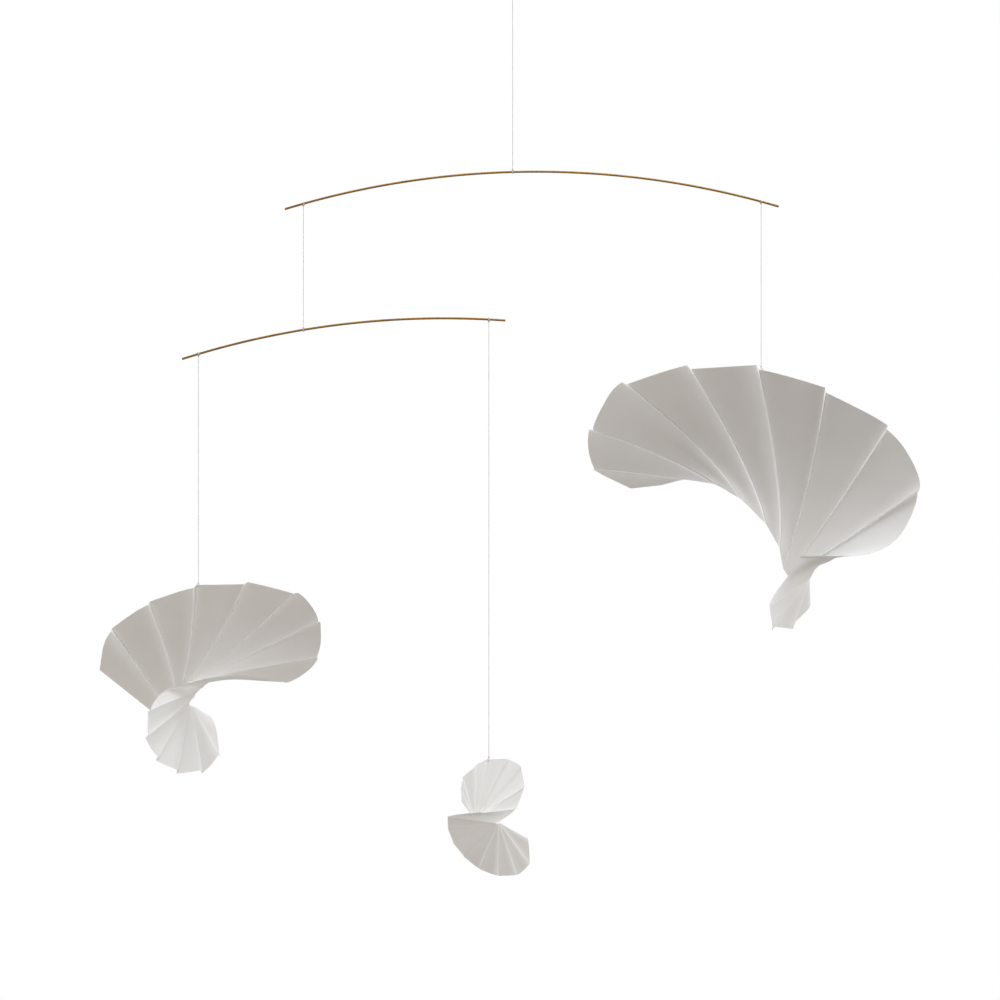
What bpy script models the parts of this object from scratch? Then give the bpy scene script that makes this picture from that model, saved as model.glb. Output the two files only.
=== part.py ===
"""Hanging mobile: three pleated paper spirals on threads below two bent brass rods.

Units are metres, +Z is up, +X runs along the rods and the front faces -Y.
The origin is the centre of the ring that the whole mobile hangs from.
"""
import math
from typing import NamedTuple

import bmesh
import bpy
import numpy as np
from mathutils import Matrix, Vector

MM = 0.001

# Brass rods, both bent to one radius
ROD_DIAMETER = 2.0 * MM
ROD_BEND_RADIUS = 775.0 * MM
UPPER_ROD_LENGTH = 451.0 * MM
UPPER_ROD_HANG_OFFSET = -17.0 * MM
UPPER_ROD_TILT = math.radians(0.3)
UPPER_LEFT_INSET = 17.5 * MM
UPPER_RIGHT_INSET = 16.5 * MM
LOWER_ROD_LENGTH = 295.0 * MM
LOWER_ROD_HANG_OFFSET = -35.0 * MM
LOWER_ROD_TILT = math.radians(6.8)
LOWER_LEFT_INSET = 15.5 * MM
LOWER_RIGHT_INSET = 15.0 * MM
ROD_STEPS = 28
ROD_ROUNDNESS = 4

# Threads, measured between the knots at their two ends
THREAD_DIAMETER = 0.6 * MM
THREAD_ROUNDNESS = 2
CEILING_DROP = 169.0 * MM
LINK_DROP = 113.5 * MM
LARGE_DROP = 148.5 * MM
MEDIUM_DROP = 206.5 * MM
SMALL_DROP = 394.0 * MM

# Loops, knots and the ring
FIT_GAP = 0.3 * MM
KNOT_DIAMETER = 1.8 * MM
PAPER_LOOP_DIAMETER = 4.0 * MM
PAPER_HOLE_DIAMETER = 1.5 * MM
HOLE_FROM_RIDGE = 1.5 * MM
RING_DIAMETER = 14.0 * MM
RING_WIRE = 1.6 * MM

# Knife pleats of the paper
RETURN_SHARE = 0.06
PLEAT_DEPTH = 0.11
PANEL_FLATNESS = 0.7
FAN_RIDGES = 8
CROSSING_END = 10
FAN_FADE = 2.5
PANEL_BULGE = 0.25
PANEL_STEPS = 3
RIDGE_STEPS = 6
EDGE_STEP = 0.02
RIM_SHARE = 0.96


class Spiral(NamedTuple):
    """One pleated strip, given by guide points on its two long edges.

    Each guide point is (ridge number, across, depth, height) in millimetres from the
    point where the strip hangs; depth grows away from the front. The bow is how far the
    middle of an upper ridge stands back, as a share of the ridge's length. The rim step is
    how far a fold's front stands out past its back at the rim, as a share of the pleat.
    """

    name: str
    paper: float
    hang_ridge: int
    bow: float
    rim_step: float
    outer: tuple
    inner: tuple


LARGE = Spiral(
    name="large",
    paper=0.399 * MM,
    hang_ridge=5,
    bow=0.09,
    rim_step=0.03,
    outer=(
        (0, -118, 62, -109), (1, -151, 76, -91), (1.5, -155, 74, -73), (2, -153, 70, -55),
        (2.5, -141, 59, -33), (3, -122, 46, -13.5), (4, -64, 20, 0.5), (5, -2.5, 0, 0), (6, 58, -24, -21),
        (7, 113, -48, -55), (7.5, 131, -54, -80), (8, 140, -60, -112), (8.5, 114, -76, -157),
        (9, 66, -84, -171), (10, 44, -36, -187), (14, 42, -28, -190),
    ),
    inner=(
        (0, -90, 48, -106), (1, -69, 37, -101), (2, -42, 24, -105), (3, -19, 11.5, -118), (4, 4, 0, -141),
        (5, 16, -9, -162), (6, 19, -15, -180), (7, 23, -20, -187), (8, 28, -24, -187),
        (9, 34, -57, -170), (10, 6, -63, -214), (11, 9, -54, -235), (12, 28, -34, -232),
        (13, 43, -24, -211), (14, 41, -24, -197),
    ),
)
MEDIUM = Spiral(
    name="medium",
    paper=0.386 * MM,
    hang_ridge=3,
    bow=0.07,
    rim_step=-0.03,
    outer=(
        (0, -89, 44, -76), (0.5, -86, 43, -57), (1, -78, 40, -39), (2, -44, 20, -15), (3, -2, 0, 0),
        (4, 44, -20, 3), (5, 89, -38, -6), (5.5, 102, -43, -17), (6, 110, -46, -32), (6.5, 111, -45, -48),
        (7, 108, -42, -64), (7.5, 98, -35, -77), (8, 79, -26, -86), (9, 21, -4, -84),
        (10, 4, -2, -91), (12, -8, 3, -106), (16, -3, 12, -109),
    ),
    inner=(
        (0, -43, 24, -112), (1, -33, 18, -103), (2, -20, 8, -93), (3, -14.5, 3, -89), (5, -8.5, -8.5, -86),
        (7, -4, -15.5, -84), (8, -3.5, -17, -85.5), (9, -29, -9.5, -93.5), (10, -43, -22, -112),
        (11, -45, -24, -135), (12, -36, -18, -155), (13, -18, -8, -167), (14, 4, 4, -167),
        (15, 19, 13, -151), (15.5, 16, 18, -133), (16, 10, 22, -117),
    ),
)
SMALL = Spiral(
    name="small",
    paper=0.507 * MM,
    hang_ridge=4,
    bow=0.0,
    rim_step=0.0,
    outer=(
        (0, -25, -16, -38), (1, -26, -15, -27), (2, -24, -12, -16), (3, -12, -6, -5), (4, -2.5, 0, 0),
        (5, 16, 5, 0), (6, 28, 8, -7), (7, 31, 6, -25), (8, 23, 0, -45), (9, 5.5, -7.5, -57.5),
        (11, 6, -7, -59.5), (13, 8, -6, -60.5), (15, 10.5, -5, -60), (17, 11.5, -4, -57.5),
    ),
    inner=(
        (0, -16, -12, -49), (2, -15, -11, -48), (4, -11.5, -10.5, -47), (6, -7.5, -12, -46.5),
        (8, -6, -14.5, -48), (9, -38, -11, -51.5), (10, -38, -4, -61), (11, -33, 0, -75), (12, -23, 4, -88),
        (13, -9, 6, -99), (14, 8, 8, -105), (15, 25, 10, -104), (16, 36, 10, -93), (17, 34, 6, -71),
    ),
)


def reset_scene():
    """Remove every object from the open file."""
    for obj in list(bpy.data.objects):
        bpy.data.objects.remove(obj, do_unlink=True)


def collection(name):
    """Return a fresh collection linked to the scene."""
    group = bpy.data.collections.new(name)
    bpy.context.scene.collection.children.link(group)
    return group


def material(name, colour, roughness, metallic):
    """Return a Principled material with the given finish."""
    made = bpy.data.materials.new(name)
    made.use_nodes = True
    shader = made.node_tree.nodes["Principled BSDF"]
    shader.inputs["Base Color"].default_value = (*colour, 1.0)
    shader.inputs["Roughness"].default_value = roughness
    shader.inputs["Metallic"].default_value = metallic
    return made


def add_object(name, data, finish, group):
    """Link a new object holding the mesh or curve and give it its finish."""
    obj = bpy.data.objects.new(name, data)
    group.objects.link(obj)
    data.materials.append(finish)
    return obj


def tube(name, points, diameter, roundness, finish, group):
    """A round wire or thread through the points, with closed ends."""
    curve = bpy.data.curves.new(name, "CURVE")
    curve.dimensions = "3D"
    curve.bevel_depth = diameter / 2
    curve.bevel_resolution = roundness
    curve.use_fill_caps = True
    spline = curve.splines.new("POLY")
    spline.points.add(len(points) - 1)
    for slot, point in zip(spline.points, points):
        slot.co = (*point, 1.0)
    return add_object(name, curve, finish, group)


def torus(name, centre, axis, major_diameter, wire, finish, group):
    """A closed ring of round wire about an axis."""
    bpy.ops.mesh.primitive_torus_add(
        major_radius=major_diameter / 2, minor_radius=wire / 2, major_segments=20, minor_segments=8
    )
    mesh = take_mesh(name)
    turn = Vector((0, 0, 1)).rotation_difference(Vector(axis)).to_matrix().to_4x4()
    mesh.transform(Matrix.Translation(centre) @ turn)
    return add_object(name, mesh, finish, group)


def ball(name, centre, diameter, finish, group):
    """A small round knot."""
    bpy.ops.mesh.primitive_uv_sphere_add(radius=diameter / 2, segments=10, ring_count=6, location=centre)
    placed = bpy.context.active_object.matrix_world.copy()
    mesh = take_mesh(name)
    mesh.transform(placed)
    return add_object(name, mesh, finish, group)


def take_mesh(name):
    """Keep the mesh of the primitive just added and remove its object."""
    obj = bpy.context.active_object
    mesh = obj.data
    bpy.data.objects.remove(obj, do_unlink=True)
    mesh.name = name
    mesh.shade_smooth()
    return mesh


def boolean(obj, other, operation):
    """Apply a Boolean with another object, which becomes a hidden guide."""
    modifier = obj.modifiers.new(operation.lower(), "BOOLEAN")
    modifier.operation = operation
    modifier.solver = "EXACT"
    modifier.object = other
    other.hide_render = True
    other.display_type = "WIRE"


def knotted_loop(name, centre, axis, loop_diameter, knot_centre, finish, groups):
    """A loop of thread with the knot that closes it."""
    parts, guides = groups
    loop = torus(name, centre, axis, loop_diameter, THREAD_DIAMETER, finish, parts)
    knot = ball(name + "_knot_guide", knot_centre, KNOT_DIAMETER, finish, guides)
    boolean(loop, knot, "UNION")
    return loop


class Rod(NamedTuple):
    """A rod bent to an arc, with the place it hangs from and the slope of its chord."""

    name: str
    length: float
    hang_offset: float
    tilt: float
    left_inset: float
    right_inset: float
    hang: tuple

    def arc(self, along):
        """Point of the untilted arc at a distance along it from its middle."""
        angle = along / ROD_BEND_RADIUS
        return Vector((ROD_BEND_RADIUS * math.sin(angle), 0, ROD_BEND_RADIUS * math.cos(angle)))

    def point(self, along):
        """Point of the hung and tilted rod at a distance along it from its middle."""
        reach = self.arc(along) - self.arc(self.hang_offset)
        return Matrix.Rotation(-self.tilt, 3, "Y") @ reach + Vector(self.hang)

    def tangent(self, along):
        """Direction of the rod at a distance along it from its middle."""
        step = 0.5 * MM
        return (self.point(along + step) - self.point(along - step)).normalized()

    def left(self):
        """Distance along the rod of its left thread."""
        return self.left_inset - self.length / 2

    def right(self):
        """Distance along the rod of its right thread."""
        return self.length / 2 - self.right_inset


def build_rod(rod, finish, group):
    """The bent rod as one wire with plain ends."""
    steps = [rod.length * (i / ROD_STEPS - 0.5) for i in range(ROD_STEPS + 1)]
    return tube(rod.name, [rod.point(along) for along in steps], ROD_DIAMETER, ROD_ROUNDNESS, finish, group)


LOOP_DIAMETER = ROD_DIAMETER + 2 * FIT_GAP + THREAD_DIAMETER
KNOT_OFFSET = LOOP_DIAMETER / 2 + KNOT_DIAMETER / 4


def rod_loop(name, rod, along, side, finish, groups):
    """A loop round the rod with its knot above (side 1) or below (side -1); return the thread's end."""
    centre = rod.point(along)
    knot = centre + Vector((0, 0, side * KNOT_OFFSET))
    knotted_loop(name, centre, rod.tangent(along), LOOP_DIAMETER, knot, finish, groups)
    return knot + Vector((0, 0, side * (KNOT_DIAMETER / 2 + FIT_GAP)))


def guide_curve(guide, ridges):
    """Edge through the guide points at the given ridge numbers, flattened along single panels."""
    table = np.array(guide, dtype=float)
    knots = table[:, 0]
    places = table[:, 1:] * MM
    gaps = np.diff(knots)[:, None]
    slopes = np.diff(places, axis=0) / gaps
    tangents = np.zeros_like(places)
    tangents[0] = slopes[0]
    tangents[-1] = slopes[-1]
    before = slopes[:-1]
    after = slopes[1:]
    same_way = before * after > 0
    total = np.where(same_way, before + after, 1.0)
    tangents[1:-1] = np.where(same_way, 2 * before * after / total, 0.0)
    span = np.clip(np.searchsorted(knots, ridges, side="right") - 1, 0, len(knots) - 2)
    width = gaps[span]
    share = ((ridges - knots[span]) / width[:, 0])[:, None]
    rest = 1 - share
    start = (1 + 2 * share) * rest**2 * places[span] + share * rest**2 * width * tangents[span]
    end = share**2 * (3 - 2 * share) * places[span + 1] - share**2 * rest * width * tangents[span + 1]
    straight = places[span] * rest + places[span + 1] * share
    crossing = (ridges > FAN_RIDGES) & (ridges < CROSSING_END)
    flat = np.where((width[:, 0] == 1) & ~crossing, PANEL_FLATNESS, 0.0)[:, None]
    return straight * flat + (start + end) * (1 - flat)


def unit(vectors):
    """The rows of an array of vectors, each scaled to length one."""
    return vectors / np.linalg.norm(vectors, axis=1)[:, None]


def pleat_profile(share):
    """Height of a knife pleat from -0.5 to 0.5: a wide rising panel, then a steep return."""
    if share > 1 - RETURN_SHARE:
        return (1 - share) / RETURN_SHARE - 0.5
    rise = share / (1 - RETURN_SHARE)
    return rise - 0.5 + PANEL_BULGE * rise * (1 - rise)


def pleat_shares():
    """Places across one pleat where the strip has a row of points."""
    return [(1 - RETURN_SHARE) * i / PANEL_STEPS for i in range(PANEL_STEPS + 1)]


class Strip:
    """The folded sheet of one spiral as a grid of points, in metres from its hanging knot."""

    def __init__(self, spiral):
        self.spiral = spiral
        pleats = int(spiral.outer[-1][0])
        shares = [(k, share) for k in range(pleats) for share in pleat_shares()] + [(pleats, 0.0)]
        self.ridges = np.array([k + share for k, share in shares])
        self.heights = np.array([pleat_profile(share) for _, share in shares])
        tips = guide_curve(spiral.outer, np.array([spiral.hang_ridge, spiral.hang_ridge + 1.0]))
        self.hole_ridge = spiral.hang_ridge + HOLE_FROM_RIDGE / np.linalg.norm(tips[1] - tips[0])
        self.shift = np.zeros(3)
        edge, along, _ = self.rim_frame(self.hole_ridge)
        self.shift = -(edge + along * PAPER_LOOP_DIAMETER / 2)

    def edges(self, ridges):
        """Points of the inner and the outer edge at ridge numbers, and how far each moves per ridge."""
        last = self.spiral.outer[-1][0]
        low = np.clip(ridges - EDGE_STEP, 0, last)
        high = np.clip(ridges + EDGE_STEP, 0, last)
        width = (high - low)[:, None]
        found = []
        for guide in (self.spiral.inner, self.spiral.outer):
            move = (guide_curve(guide, high) - guide_curve(guide, low)) / width
            found.append((guide_curve(guide, ridges), move))
        return found

    def rows(self, ridges, heights, shares):
        """Points of the folded sheet and its front normals, by place along the ridge and ridge number."""
        (inner, inner_move), (outer, outer_move) = self.edges(ridges)
        length = np.linalg.norm(outer - inner, axis=1)[:, None]
        along = (outer - inner) / length
        from_ends = np.minimum(ridges, FAN_RIDGES - ridges)
        bow = self.spiral.bow * length * np.clip(from_ends / FAN_FADE, 0, 1)[:, None]
        points = []
        normals = []
        for share in shares:
            base = inner * (1 - share) + outer * share
            move = inner_move * (1 - share) + outer_move * share
            move -= along * np.sum(move * along, axis=1)[:, None]
            pitch = np.linalg.norm(move, axis=1)[:, None]
            normal = unit(np.cross(move, along))
            fold = pitch * heights[:, None] * (normal * PLEAT_DEPTH + along * self.spiral.rim_step)
            hollow = normal * bow * 4 * share * (1 - share)
            points.append(base + fold - hollow + self.shift)
            normals.append(normal)
        return np.array(points), np.array(normals)

    def rim_frame(self, ridge):
        """Point on the outer edge with its ridge direction and front normal."""
        ridges = np.array([ridge])
        heights = np.array([pleat_profile(ridge - math.floor(ridge))])
        points, normals = self.rows(ridges, heights, [RIM_SHARE, 1.0])
        along = unit(points[1] - points[0])
        return points[1, 0], along[0], normals[1, 0]


def build_spiral(spiral, knot, finish, groups):
    """One folded paper spiral with its punched hole, hung with its knot at the given point."""
    strip = Strip(spiral)
    shares = [0.5 - 0.5 * math.cos(math.pi * i / RIDGE_STEPS) for i in range(RIDGE_STEPS + 1)]
    points, normals = strip.rows(strip.ridges, strip.heights, shares)
    columns = len(strip.ridges)
    shape = bmesh.new()
    bmesh.ops.create_grid(shape, x_segments=columns - 1, y_segments=RIDGE_STEPS, size=1)
    shape.verts.ensure_lookup_table()
    sheet = shape.faces[:]
    half = spiral.paper / 2
    front = list(shape.verts)
    made = bmesh.ops.extrude_face_region(shape, geom=sheet)
    back = [item for item in made["geom"] if isinstance(item, bmesh.types.BMVert)]
    for verts, side in ((front, -half), (back, half)):
        for vert in verts:
            column = round((vert.co.x + 1) / 2 * (columns - 1))
            row = round((vert.co.y + 1) / 2 * RIDGE_STEPS)
            vert.co = Vector(points[row, column] + normals[row, column] * side) + knot
    bmesh.ops.recalc_face_normals(shape, faces=shape.faces[:])
    mesh = bpy.data.meshes.new(spiral.name + "_spiral")
    shape.to_mesh(mesh)
    shape.free()
    parts, guides = groups
    body = add_object(spiral.name + "_spiral", mesh, finish, parts)
    edge, along, normal = strip.rim_frame(strip.hole_ridge)
    hole_centre = Vector(edge - along * PAPER_LOOP_DIAMETER / 2) + knot
    boolean(body, drill(spiral.name + "_hole_guide", hole_centre, normal, finish, guides), "DIFFERENCE")
    loop_centre = Vector(edge) + knot
    axis = Vector(along).cross(Vector(normal))
    return loop_centre, axis


def drill(name, centre, axis, finish, group):
    """A short round cutter for the hanging hole."""
    bpy.ops.mesh.primitive_cylinder_add(
        vertices=12, radius=PAPER_HOLE_DIAMETER / 2, depth=2 * PAPER_HOLE_DIAMETER
    )
    mesh = take_mesh(name)
    turn = Vector((0, 0, 1)).rotation_difference(Vector(axis)).to_matrix().to_4x4()
    mesh.transform(Matrix.Translation(centre) @ turn)
    return add_object(name, mesh, finish, group)


def hang_spiral(spiral, thread_top, drop, finishes, groups):
    """A thread from a rod down to a paper spiral, with the loop that holds the paper."""
    paper, thread = finishes
    knot = thread_top[0] - Vector((0, 0, drop))
    centre, axis = build_spiral(spiral, knot, paper, groups)
    knotted_loop(spiral.name + "_loop", centre, axis, PAPER_LOOP_DIAMETER, knot, thread, groups)
    low = knot + Vector((0, 0, KNOT_DIAMETER / 2 + FIT_GAP))
    tube(spiral.name + "_thread", [thread_top[1], low], THREAD_DIAMETER, THREAD_ROUNDNESS, thread, groups[0])


def main():
    """Build the mobile from its ring downwards."""
    reset_scene()
    parts = collection("hanging_mobile")
    guides = collection("hanging_mobile_guides")
    groups = (parts, guides)
    brass = material("brushed_brass", (0.56, 0.36, 0.11), 0.35, 1.0)
    paper = material("white_paper", (0.86, 0.85, 0.84), 0.8, 0.0)
    thread = material("white_thread", (0.9, 0.9, 0.89), 0.7, 0.0)
    steel = material("nickelled_ring", (0.7, 0.7, 0.7), 0.3, 1.0)
    torus("hanging_ring", (0, 0, 0), (0, 1, 0), RING_DIAMETER, RING_WIRE, steel, parts)
    upper = Rod(
        "upper_rod", UPPER_ROD_LENGTH, UPPER_ROD_HANG_OFFSET, UPPER_ROD_TILT,
        UPPER_LEFT_INSET, UPPER_RIGHT_INSET, (0, 0, -CEILING_DROP),
    )
    build_rod(upper, brass, parts)
    ring_loop = RING_WIRE + 2 * FIT_GAP + THREAD_DIAMETER
    ring_low = Vector((0, 0, -RING_DIAMETER / 2))
    ring_knot = ring_low - Vector((0, 0, ring_loop / 2 + KNOT_DIAMETER / 4))
    knotted_loop("ring_loop", ring_low, (1, 0, 0), ring_loop, ring_knot, thread, groups)
    ceiling_top = ring_knot - Vector((0, 0, KNOT_DIAMETER / 2 + FIT_GAP))
    ceiling_low = rod_loop("upper_rod_centre_loop", upper, upper.hang_offset, 1, thread, groups)
    tube("ceiling_thread", [ceiling_top, ceiling_low], THREAD_DIAMETER, THREAD_ROUNDNESS, thread, parts)
    link_top = rod_loop("upper_rod_left_loop", upper, upper.left(), -1, thread, groups)
    lower = Rod(
        "lower_rod", LOWER_ROD_LENGTH, LOWER_ROD_HANG_OFFSET, LOWER_ROD_TILT,
        LOWER_LEFT_INSET, LOWER_RIGHT_INSET, tuple(upper.point(upper.left()) - Vector((0, 0, LINK_DROP))),
    )
    build_rod(lower, brass, parts)
    link_low = rod_loop("lower_rod_centre_loop", lower, lower.hang_offset, 1, thread, groups)
    tube("link_thread", [link_top, link_low], THREAD_DIAMETER, THREAD_ROUNDNESS, thread, parts)
    hangs = (
        (LARGE, upper, upper.right(), "upper_rod_right_loop", LARGE_DROP),
        (MEDIUM, lower, lower.left(), "lower_rod_left_loop", MEDIUM_DROP),
        (SMALL, lower, lower.right(), "lower_rod_right_loop", SMALL_DROP),
    )
    for spiral, rod, along, loop_name, drop in hangs:
        top = rod_loop(loop_name, rod, along, -1, thread, groups)
        hang_spiral(spiral, (rod.point(along), top), drop, (paper, thread), groups)


main()
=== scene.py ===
"""Looks of a hanging mobile: pleated paper spirals on threads below two bent brass rods.

Lengths are in metres unless a name ends in _mm. +Z is up, +X runs along the rods to the
viewer's right, and the front faces -Y. The origin is the centre of the hanging ring.
"""
import logging
import math
from dataclasses import dataclass
from enum import Enum

import bpy
import numpy as np
from bpy.types import Material, Mesh, Node, NodeSocket, NodeTree, Object
from mathutils import Matrix, Vector

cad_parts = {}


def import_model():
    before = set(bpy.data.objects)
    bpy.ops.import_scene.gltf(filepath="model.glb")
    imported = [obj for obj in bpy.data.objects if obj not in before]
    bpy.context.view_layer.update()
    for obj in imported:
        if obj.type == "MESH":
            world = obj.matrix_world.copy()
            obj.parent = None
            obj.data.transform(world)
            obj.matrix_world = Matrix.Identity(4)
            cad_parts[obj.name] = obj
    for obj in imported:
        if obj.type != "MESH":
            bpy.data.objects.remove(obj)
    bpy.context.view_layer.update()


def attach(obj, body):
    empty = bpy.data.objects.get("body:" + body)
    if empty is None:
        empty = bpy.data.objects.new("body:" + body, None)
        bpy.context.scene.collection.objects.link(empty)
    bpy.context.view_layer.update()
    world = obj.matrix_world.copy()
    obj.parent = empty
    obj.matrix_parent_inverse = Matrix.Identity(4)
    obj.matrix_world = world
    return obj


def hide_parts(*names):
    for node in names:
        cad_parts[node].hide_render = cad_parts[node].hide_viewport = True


log = logging.getLogger("hanging_mobile")

MM = 0.001
MATH = "ShaderNodeMath"
VECTOR_MATH = "ShaderNodeVectorMath"
# Sockets of a Mix node that blends colours
FIRST_COLOUR = 6
SECOND_COLOUR = 7
BLENDED = 2


class Slot(Enum):
    """Material slots of the record that the pieces take their finish from."""

    BRASS = "brushed_brass"
    PAPER = "white_paper"
    THREAD = "white_thread"
    RING = "nickelled_ring"


class Lay(Enum):
    """How a length of thread lies: pulled straight, or wound and knotted."""

    TAUT = "taut"
    TIED = "tied"


class Side(Enum):
    """Side of a rod that the knot of a tied thread sits on."""

    ABOVE = 1
    BELOW = -1


def hex_linear(colour: str) -> tuple[float, float, float, float]:
    """Turn an sRGB hex colour into a linear colour.

    Args:
        colour: six hex digits.

    Returns:
        Linear red, green and blue with an alpha of one.
    """
    parts = [int(colour[i : i + 2], 16) / 255 for i in (0, 2, 4)]
    linear = [c / 12.92 if c <= 0.04045 else ((c + 0.055) / 1.055) ** 2.4 for c in parts]
    return (linear[0], linear[1], linear[2], 1.0)


def add_node(
    tree: NodeTree, kind: str, inputs: dict | tuple = (), **settings: object
) -> Node:
    """Add a node with its settings, values and links.

    Args:
        tree: the node tree.
        kind: the node's type name.
        inputs: values by input name or number, or in the order of the inputs. A socket, or a
            node for its first output, is linked.
        settings: properties of the node.

    Returns:
        The new node.
    """
    node = tree.nodes.new(kind)
    for name, value in settings.items():
        setattr(node, name, value)
    given = inputs if isinstance(inputs, dict) else dict(enumerate(inputs))
    for key, value in given.items():
        source = value.outputs[0] if isinstance(value, Node) else value
        if isinstance(source, NodeSocket):
            tree.links.new(source, node.inputs[key])
        else:
            node.inputs[key].default_value = source
    return node


def unit(vectors: np.ndarray) -> np.ndarray:
    """Scale each row of an array of vectors to length one."""
    return vectors / np.linalg.norm(vectors, axis=1)[:, None]


def new_material(name: str) -> tuple[Material, NodeTree, Node]:
    """Make an empty Principled material.

    Args:
        name: the material's common name.

    Returns:
        The material, its node tree and its shader.
    """
    made = bpy.data.materials.new(name)
    made.use_nodes = True
    tree = made.node_tree
    return made, tree, tree.nodes["Principled BSDF"]


def mottled(
    tree: NodeTree, size_mm: float, layers: float, first: str, second: str
) -> tuple[NodeSocket, NodeSocket]:
    """Blend two colours in soft patches of a real size.

    Args:
        tree: a material's node tree.
        size_mm: size of a patch.
        layers: how many finer layers the patches have.
        first: hex colour of one kind of patch.
        second: hex colour of the other.

    Returns:
        The pattern from 0 to 1, and the colour.
    """
    place = add_node(tree, "ShaderNodeTexCoord").outputs["Object"]
    inputs = {"Vector": place, "Scale": 1 / (size_mm * MM), "Detail": layers}
    pattern = add_node(tree, "ShaderNodeTexNoise", inputs).outputs[0]
    tones = {"Factor": pattern, FIRST_COLOUR: hex_linear(first), SECOND_COLOUR: hex_linear(second)}
    return pattern, add_node(tree, "ShaderNodeMix", tones, data_type="RGBA").outputs[BLENDED]


@dataclass(frozen=True)
class PaperFinish:
    """Uncoated white drawing paper, matt, with a soft felt grain and a highlight painted along its fold
    lines.
    """

    name: str = "uncoated_drawing_paper"
    sheet: str = "F0EFED"
    cloud: str = "E9E8E5"
    # Colour of the highlight painted along the ridge folds
    fold: str = "FBFBFA"
    roughness: float = 0.82
    refraction: float = 1.45
    gloss: float = 0.25
    cloud_mm: float = 22.0
    cloud_layers: float = 3.0
    grain_mm: float = 1.1
    grain_layers: float = 4.0
    grain_height_mm: float = 0.03
    grain_strength: float = 0.6

    def material(self) -> Material:
        """Build the paper: faint cloudy formation, a highlight painted paler along the folds and a felt
        grain in relief.

        Returns:
            The paper.
        """
        made, tree, shader = new_material(self.name)
        # Pulp settles unevenly, so the sheet is a little darker in soft patches
        _, tone = mottled(tree, self.cloud_mm, self.cloud_layers, self.sheet, self.cloud)
        # Painted highlight: the sheet is painted paler along each ridge fold, where the fold catches the
        # light
        crease = add_node(tree, "ShaderNodeAttribute", attribute_name="crease").outputs["Fac"]
        tones = {"Factor": crease, FIRST_COLOUR: tone, SECOND_COLOUR: hex_linear(self.fold)}
        highlighted = add_node(tree, "ShaderNodeMix", tones, data_type="RGBA")
        tree.links.new(highlighted.outputs[BLENDED], shader.inputs["Base Color"])
        # Felt marks are finer than this on the real sheet and are drawn coarse enough to show
        place = add_node(tree, "ShaderNodeTexCoord").outputs["Object"]
        size = 1 / (self.grain_mm * MM)
        grain = add_node(
            tree, "ShaderNodeTexNoise", {"Vector": place, "Scale": size, "Detail": self.grain_layers}
        )
        height = self.grain_height_mm * MM
        relief = add_node(
            tree, "ShaderNodeBump", {"Height": grain, "Distance": height, "Strength": self.grain_strength}
        )
        tree.links.new(relief.outputs["Normal"], shader.inputs["Normal"])
        shader.inputs["Roughness"].default_value = self.roughness
        shader.inputs["IOR"].default_value = self.refraction
        shader.inputs["Specular IOR Level"].default_value = self.gloss
        return made


@dataclass(frozen=True)
class BrassFinish:
    """Drawn brass rod, dulled by handling, with fine draw lines along its length."""

    name: str = "drawn_brass_rod"
    bright: str = "8C6832"
    tarnish: str = "5C421E"
    smoothest: float = 0.26
    roughest: float = 0.48
    stain_mm: float = 14.0
    stain_layers: float = 5.0
    line_mm: float = 0.25
    line_layers: float = 2.0
    line_shrink: float = 0.02
    line_depth_mm: float = 0.01
    line_strength: float = 0.3

    def material(self) -> Material:
        """Build the brass: patches of tarnish over a metal with lines from the drawing die.

        Returns:
            The brass.
        """
        made, tree, shader = new_material(self.name)
        _, tone = mottled(tree, self.stain_mm, self.stain_layers, self.bright, self.tarnish)
        tree.links.new(tone, shader.inputs["Base Color"])
        # Draw lines run along the rod, so the pattern is stretched along X
        place = add_node(tree, "ShaderNodeTexCoord").outputs["Object"]
        scale = (self.line_shrink, 1.0, 1.0)
        along = add_node(tree, "ShaderNodeMapping", {"Vector": place, "Scale": scale})
        size = 1 / (self.line_mm * MM)
        lines = add_node(
            tree, "ShaderNodeTexNoise", {"Vector": along, "Scale": size, "Detail": self.line_layers}
        )
        rough = add_node(
            tree, "ShaderNodeMapRange", {"Value": lines, "To Min": self.smoothest, "To Max": self.roughest}
        )
        tree.links.new(rough.outputs["Result"], shader.inputs["Roughness"])
        depth = self.line_depth_mm * MM
        relief = add_node(
            tree, "ShaderNodeBump", {"Height": lines, "Distance": depth, "Strength": self.line_strength}
        )
        tree.links.new(relief.outputs["Normal"], shader.inputs["Normal"])
        shader.inputs["Metallic"].default_value = 1.0
        return made


@dataclass(frozen=True)
class ThreadFinish:
    """Two-ply white cotton thread with a slight fuzz that softens its edge."""

    name: str = "two_ply_cotton_thread"
    light: str = "DEDDD9"
    shade: str = "CFCCC5"
    roughness: float = 0.78
    fuzz: float = 0.25
    fibre_mm: float = 0.35
    fibre_layers: float = 3.0

    def material(self) -> Material:
        """Build the thread: pale fibres with darker ones between them.

        Returns:
            The thread.
        """
        made, tree, shader = new_material(self.name)
        # Fibres are finer than this on the real thread and are drawn coarse enough to show
        _, tone = mottled(tree, self.fibre_mm, self.fibre_layers, self.light, self.shade)
        tree.links.new(tone, shader.inputs["Base Color"])
        shader.inputs["Roughness"].default_value = self.roughness
        shader.inputs["Sheen Weight"].default_value = self.fuzz
        return made


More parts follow.
